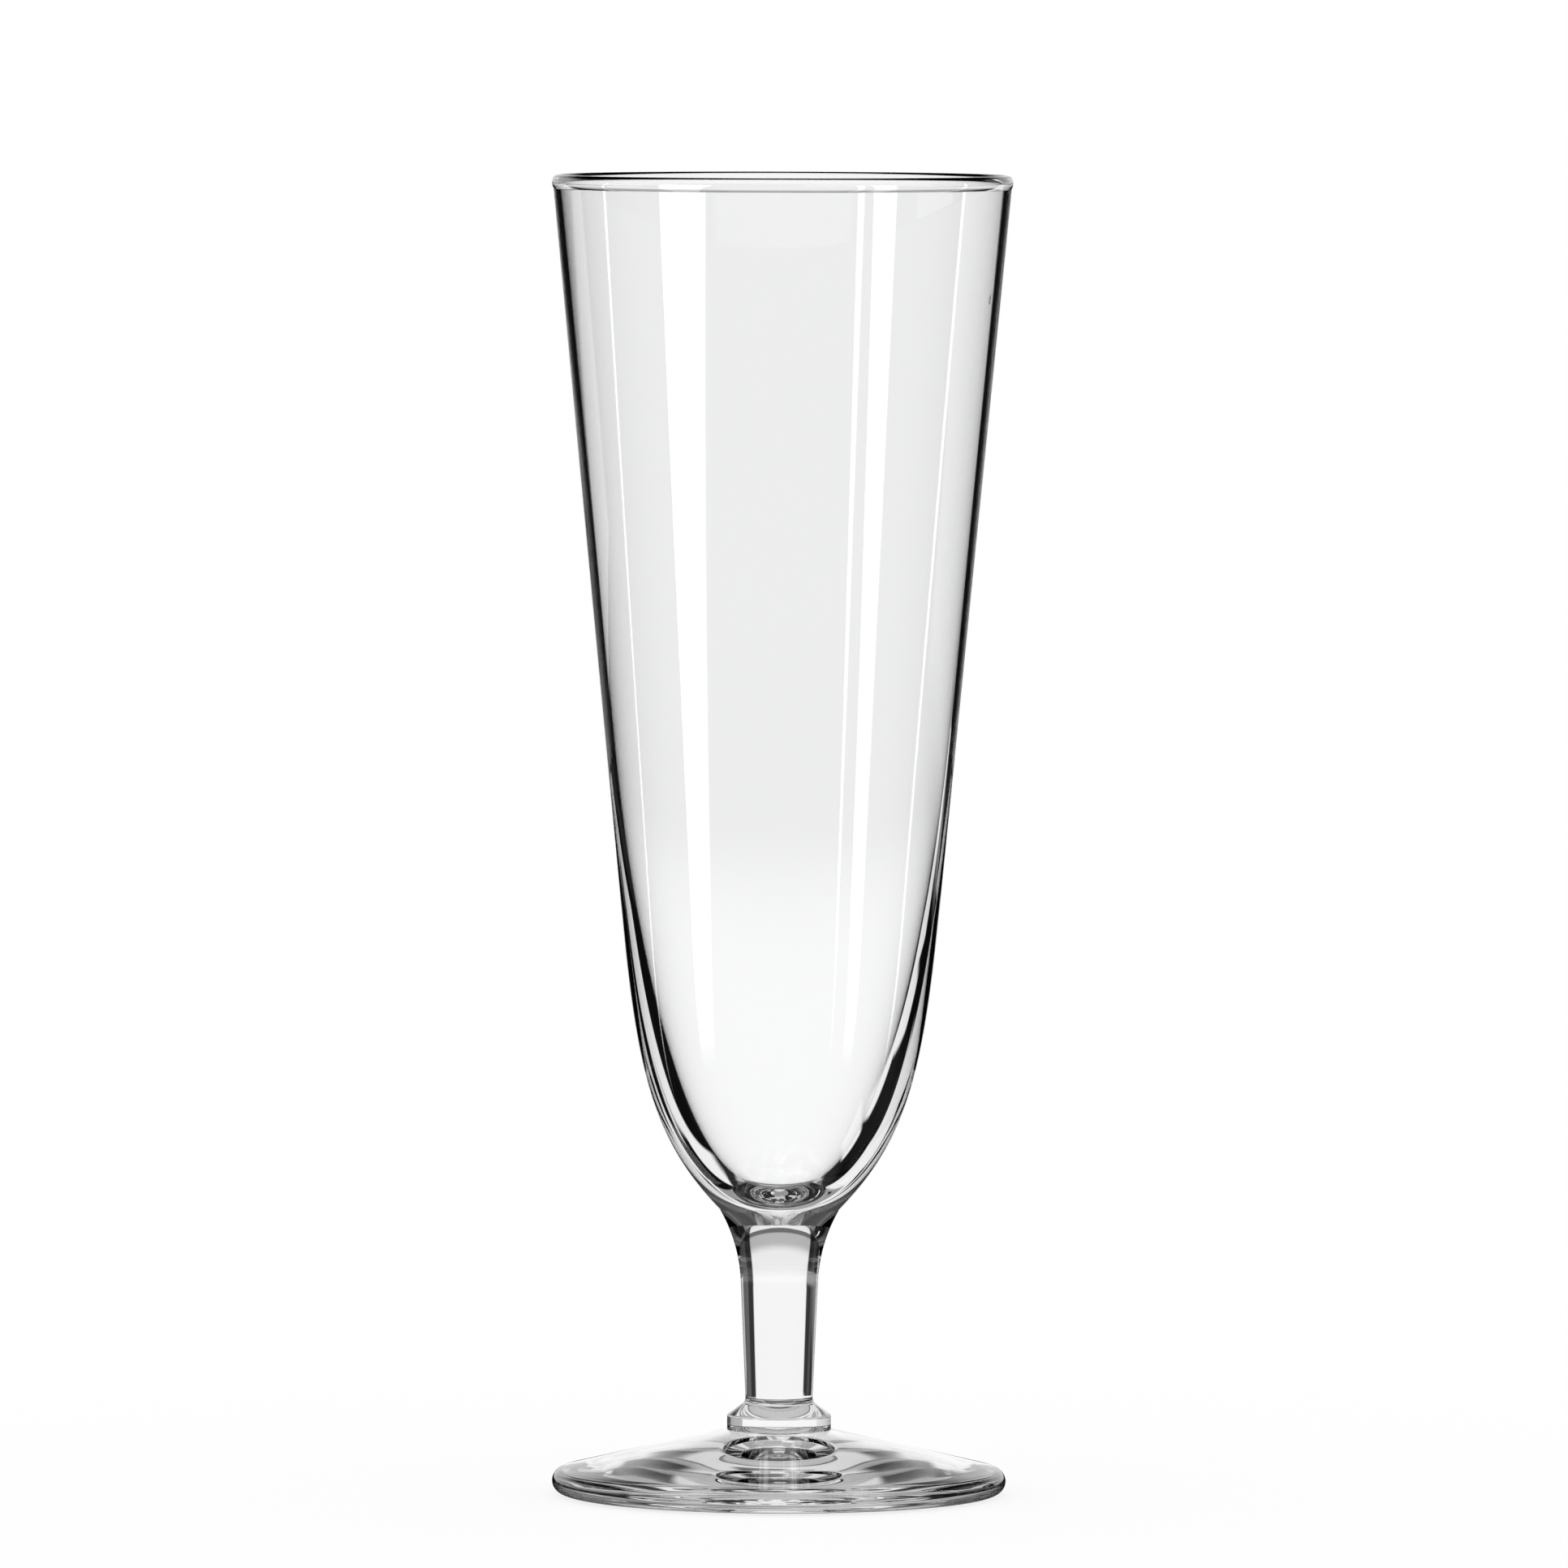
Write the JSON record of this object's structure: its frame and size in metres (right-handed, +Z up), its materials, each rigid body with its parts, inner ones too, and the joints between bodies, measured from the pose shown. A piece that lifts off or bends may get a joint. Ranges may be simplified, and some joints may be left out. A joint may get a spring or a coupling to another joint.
{
  "type": "pilsner glass",
  "caption": "Tall clear footed beer glass: beaded rim, tapered bowl with a heavy rounded base, short flared stem, ring collar and a broad hollow foot.",
  "frame": {"origin": "centre of the ring that the foot rests on, on the table", "axes": "+Z up along the axis that the glass is turned about; every direction round it is alike"},
  "size_m": [0.073, 0.073, 0.209],
  "materials": {
    "clear_glass": "clear, fire polished"
  },
  "bodies": {
    "root": {"rim_bead": "clear_glass", "bowl": "clear_glass", "stem": "clear_glass", "stem_collar": "clear_glass", "foot": "clear_glass"}
  },
  "joints": []
}
